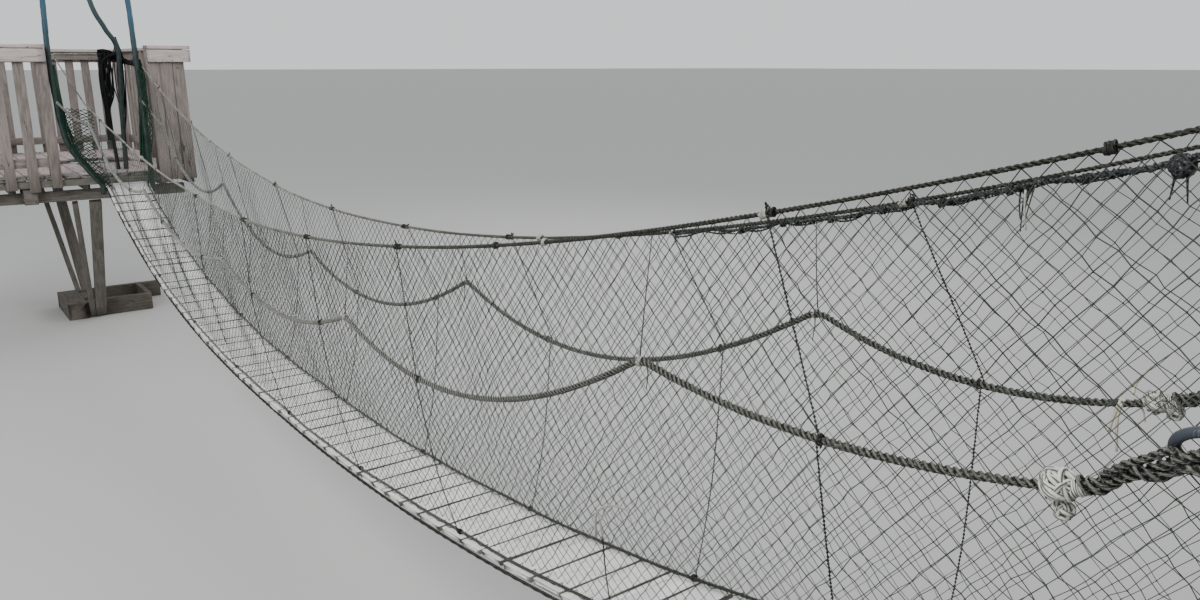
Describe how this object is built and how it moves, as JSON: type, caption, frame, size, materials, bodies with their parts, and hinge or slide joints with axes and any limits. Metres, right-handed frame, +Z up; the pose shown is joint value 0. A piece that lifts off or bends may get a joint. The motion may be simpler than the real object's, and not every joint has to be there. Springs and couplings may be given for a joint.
{
  "type": "rope suspension footbridge",
  "caption": "Sagging board footbridge hung on handrail ropes with netted sides, between two railed timber platforms with collars that clamp round tree trunks.",
  "frame": {"origin": "in the middle of the bearing pad on the far collar's front beam, where it meets the far trunk", "axes": "+X along the bridge from the far trunk to the near one, +Y to the right when looking from the near platform to the far one, +Z up"},
  "size_m": [16.7726, 2.3676, 4.6025],
  "materials": {
    "deck_boards": "bleached grey sawn softwood boards, dry and slightly furred",
    "rail_timber": "weathered sawn softwood, pinkish grey, with open grain and small knots",
    "platform_timber": "weathered sawn softwood, brown grey, darker in the grain",
    "grey_rope": "laid rope, weathered grey beige, matt and hairy",
    "dark_rope": "laid rope, weathered dark brown grey, matt",
    "net_twine": "knotted netting twine, dark green grey, matt",
    "sling_hose": "plain hose sleeve over the sling, dull blue green, scuffed"
  },
  "bodies": {
    "root": {"deck_bay_1": "deck_boards", "deck_bay_2": "deck_boards", "deck_bay_3": "deck_boards", "deck_bay_4": "deck_boards", "deck_bay_5": "deck_boards", "left_handrail_rope": "grey_rope", "left_scallop_rope": "grey_rope", "left_deck_cable": "dark_rope", "left_suspender_ropes": "dark_rope", "left_net": "net_twine", "right_handrail_rope": "grey_rope", "right_scallop_rope": "grey_rope", "right_deck_cable": "dark_rope", "right_suspender_ropes": "dark_rope", "right_net": "net_twine", "far_platform_floor": "rail_timber", "far_platform_frame": "platform_timber", "far_front_left_railing": "platform_timber", "far_front_right_railing": "platform_timber", "far_rear_railing": "platform_timber", "far_left_railing": "platform_timber", "far_right_railing": "platform_timber", "far_collar_front_beam": "platform_timber", "far_collar_rear_yoke": "platform_timber", "far_front_struts": "platform_timber", "far_rear_struts": "platform_timber", "far_left_sling_hose": "sling_hose", "far_right_sling_hose": "sling_hose", "far_sling_ring": "sling_hose", "near_platform_floor": "rail_timber", "near_platform_frame": "platform_timber", "near_front_left_railing": "platform_timber", "near_front_right_railing": "platform_timber", "near_rear_railing": "platform_timber", "near_left_railing": "platform_timber", "near_right_railing": "platform_timber", "near_collar_front_beam": "platform_timber", "near_collar_rear_yoke": "platform_timber", "near_front_struts": "platform_timber", "near_rear_struts": "platform_timber", "near_left_sling_hose": "sling_hose", "near_right_sling_hose": "sling_hose", "near_sling_ring": "sling_hose", "far_handrail_wrap": "grey_rope", "near_handrail_wrap": "grey_rope"}
  },
  "joints": []
}
